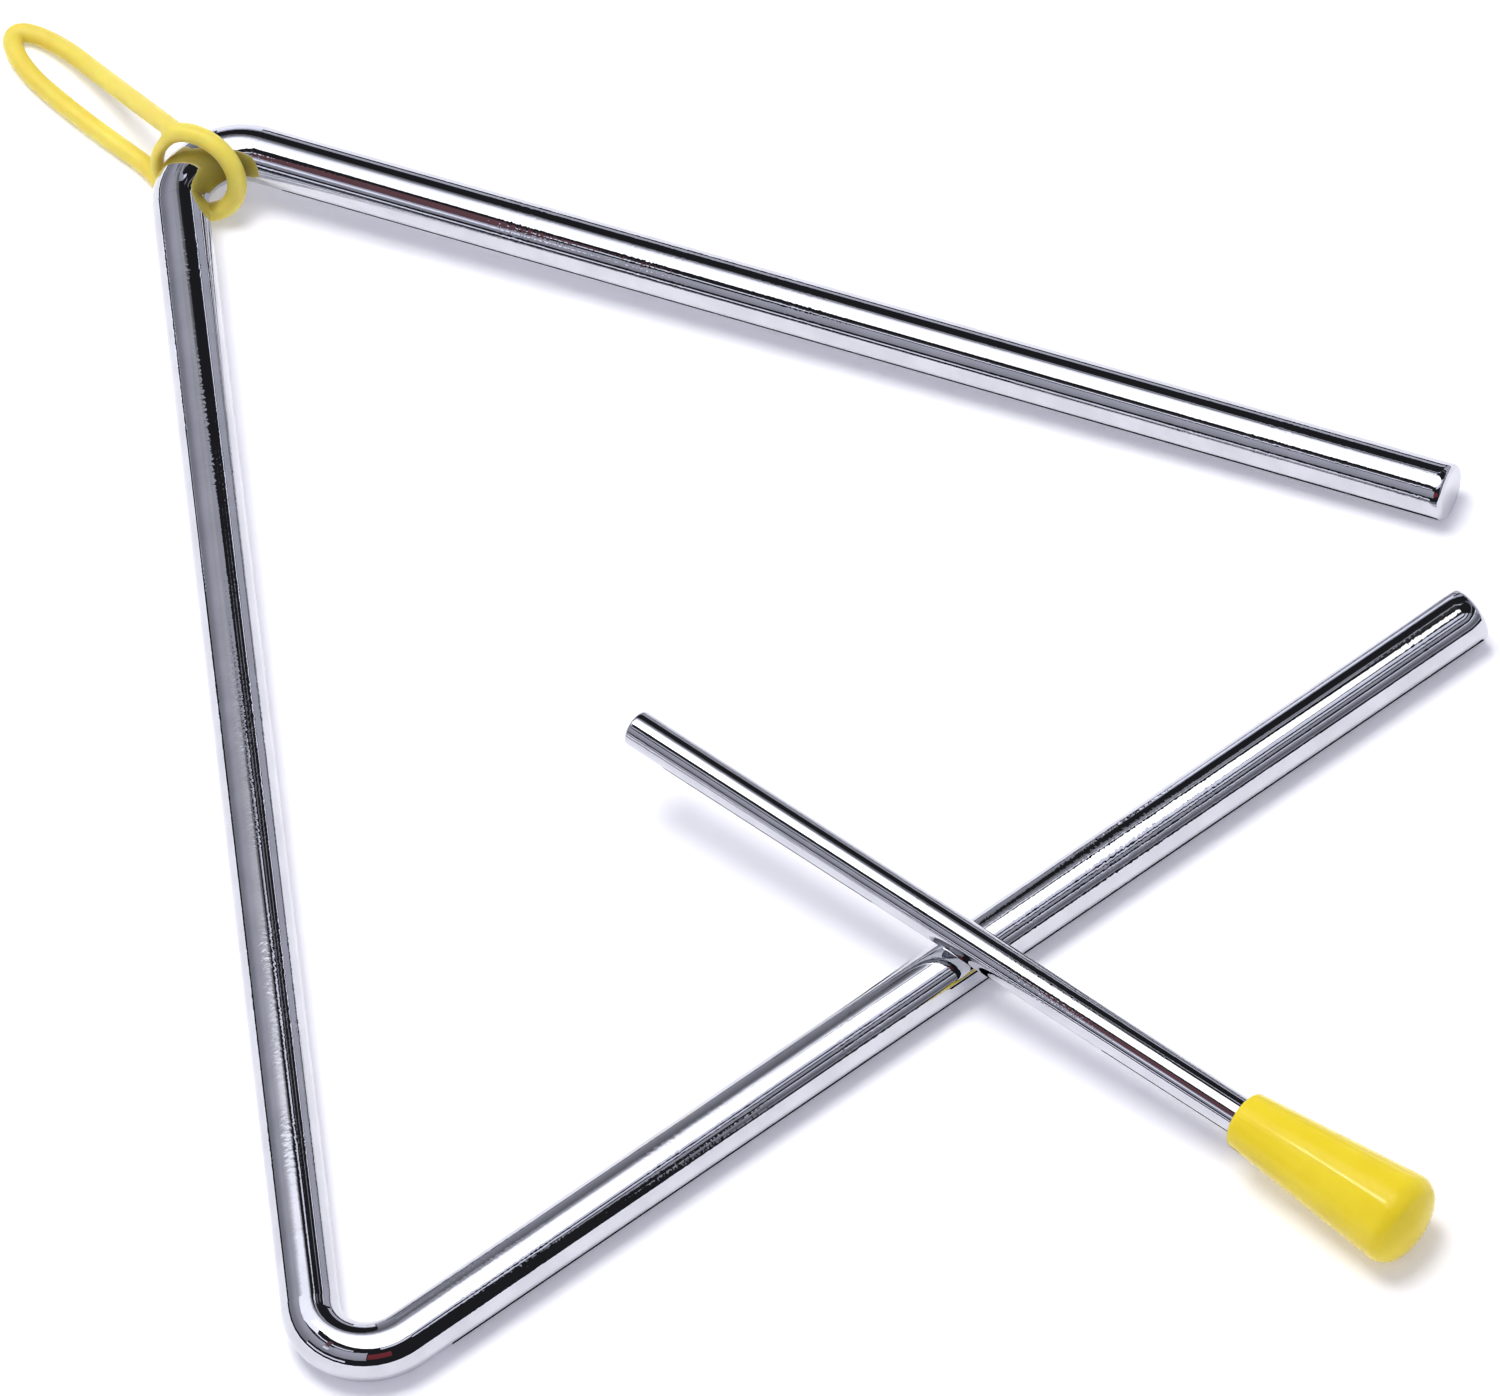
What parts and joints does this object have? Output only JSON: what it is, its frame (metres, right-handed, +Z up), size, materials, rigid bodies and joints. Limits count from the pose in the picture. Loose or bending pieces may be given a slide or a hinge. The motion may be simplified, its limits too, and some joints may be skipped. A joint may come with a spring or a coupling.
{
  "type": "triangle instrument",
  "caption": "Percussion triangle of bent chromed rod with an open corner, a soft moulded hanger and a straight beater with a tapered grip.",
  "frame": {"origin": "middle of the outline on the surface that everything lies on", "axes": "+Z up from the surface, +Y from the base leg towards the corner that carries the hanger, +X along the base leg towards the open corner"},
  "size_m": [0.1638, 0.237, 0.0136],
  "materials": {
    "rod_chrome": "bright chrome plate",
    "hanger_plastic": "soft satin, slightly translucent",
    "beater_chrome": "bright chrome plate",
    "grip_plastic": "gloss, moulded in colour"
  },
  "bodies": {
    "triangle": {"triangle_rod": "rod_chrome"},
    "hanger": {"hanger": "hanger_plastic"},
    "beater": {"beater_rod": "beater_chrome", "beater_grip": "grip_plastic"}
  },
  "joints": [
    {"name": "hanger_swing", "type": "hinge", "parent": "triangle", "child": "hanger", "pos_m": [0.0004, 0.08385, 0.00619], "axis": [0.8374, 0.47, -0.279], "range_deg": [-110, 80]},
    {"name": "beater_lift", "type": "slide", "parent": "triangle", "child": "beater", "axis": [0, 0, 1], "range_m": [0, 0.08]}
  ]
}
